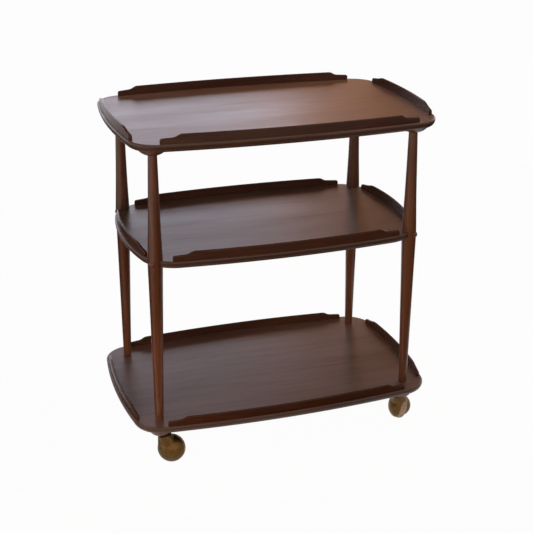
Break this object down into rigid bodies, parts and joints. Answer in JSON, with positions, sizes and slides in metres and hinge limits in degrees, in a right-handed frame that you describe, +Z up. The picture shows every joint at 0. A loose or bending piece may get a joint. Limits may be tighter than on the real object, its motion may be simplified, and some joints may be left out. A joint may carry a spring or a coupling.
{
  "type": "bar cart",
  "caption": "Wooden drinks trolley with bowed lipped trays on slim turned legs that swell at the middle tray, rolling on ball casters.",
  "frame": {"origin": "floor level under the centre of the trays", "axes": "+X along the trays to the right in the picture, +Y to the far long side, +Z up"},
  "size_m": [0.727, 0.464, 0.777],
  "materials": {
    "elm_board": "dark stain, satin-gloss polish",
    "elm_lip": "dark stain, satin-gloss polish",
    "beech_turned": "dark stain, satin-gloss polish",
    "antique_brass": "aged brass plate",
    "tan_rubber": "matt tan rubber",
    "steel": "plain bright steel"
  },
  "bodies": {
    "frame": {"top_tray": "elm_board", "top_front_gallery": "elm_lip", "top_back_gallery": "elm_lip", "top_left_gallery": "elm_lip", "top_right_gallery": "elm_lip", "middle_tray": "elm_board", "middle_front_gallery": "elm_lip", "middle_back_gallery": "elm_lip", "middle_left_gallery": "elm_lip", "middle_right_gallery": "elm_lip", "bottom_tray": "elm_board", "bottom_front_gallery": "elm_lip", "bottom_back_gallery": "elm_lip", "bottom_left_gallery": "elm_lip", "bottom_right_gallery": "elm_lip", "front_left_leg": "beech_turned", "top_front_left_boss": "beech_turned", "bottom_front_left_boss": "beech_turned", "front_left_caster_socket": "antique_brass", "front_right_leg": "beech_turned", "top_front_right_boss": "beech_turned", "bottom_front_right_boss": "beech_turned", "front_right_caster_socket": "antique_brass", "back_left_leg": "beech_turned", "top_back_left_boss": "beech_turned", "bottom_back_left_boss": "beech_turned", "back_left_caster_socket": "antique_brass", "back_right_leg": "beech_turned", "top_back_right_boss": "beech_turned", "bottom_back_right_boss": "beech_turned", "back_right_caster_socket": "antique_brass", "middle_tray_screws": "steel", "screw_plugs": "beech_turned"},
    "front_left_swivel": {"front_left_caster_hood": "antique_brass", "front_left_caster_stem": "steel", "front_left_caster_axle": "steel"},
    "front_left_wheel": {"front_left_caster_wheel": "antique_brass", "front_left_caster_tyre": "tan_rubber"},
    "front_right_swivel": {"front_right_caster_hood": "antique_brass", "front_right_caster_stem": "steel", "front_right_caster_axle": "steel"},
    "front_right_wheel": {"front_right_caster_wheel": "antique_brass", "front_right_caster_tyre": "tan_rubber"},
    "back_left_swivel": {"back_left_caster_hood": "antique_brass", "back_left_caster_stem": "steel", "back_left_caster_axle": "steel"},
    "back_left_wheel": {"back_left_caster_wheel": "antique_brass", "back_left_caster_tyre": "tan_rubber"},
    "back_right_swivel": {"back_right_caster_hood": "antique_brass", "back_right_caster_stem": "steel", "back_right_caster_axle": "steel"},
    "back_right_wheel": {"back_right_caster_wheel": "antique_brass", "back_right_caster_tyre": "tan_rubber"}
  },
  "joints": [
    {"name": "front_left_caster_swivel", "type": "hinge", "parent": "frame", "child": "front_left_swivel", "pos_m": [-0.2945, -0.1683, 0.05], "axis": [0, 0, 1], "continuous": true},
    {"name": "front_left_wheel_roll", "type": "hinge", "parent": "front_left_swivel", "child": "front_left_wheel", "pos_m": [-0.27118, -0.17035, 0.03116], "axis": [-0.4082, -0.8754, 0.2588], "continuous": true},
    {"name": "front_right_caster_swivel", "type": "hinge", "parent": "frame", "child": "front_right_swivel", "pos_m": [0.2945, -0.1683, 0.05], "axis": [0, 0, 1], "continuous": true},
    {"name": "front_right_wheel_roll", "type": "hinge", "parent": "front_right_swivel", "child": "front_right_wheel", "pos_m": [0.30548, -0.14763, 0.03116], "axis": [-0.9565, 0.1344, 0.2588], "continuous": true},
    {"name": "back_left_caster_swivel", "type": "hinge", "parent": "frame", "child": "back_left_swivel", "pos_m": [-0.2945, 0.1683, 0.05], "axis": [0, 0, 1], "continuous": true},
    {"name": "back_left_wheel_roll", "type": "hinge", "parent": "back_left_swivel", "child": "back_left_wheel", "pos_m": [-0.27118, 0.16625, 0.03116], "axis": [-0.4082, -0.8754, 0.2588], "continuous": true},
    {"name": "back_right_caster_swivel", "type": "hinge", "parent": "frame", "child": "back_right_swivel", "pos_m": [0.2945, 0.1683, 0.05], "axis": [0, 0, 1], "continuous": true},
    {"name": "back_right_wheel_roll", "type": "hinge", "parent": "back_right_swivel", "child": "back_right_wheel", "pos_m": [0.30548, 0.18897, 0.03116], "axis": [-0.9565, 0.1344, 0.2588], "continuous": true}
  ]
}
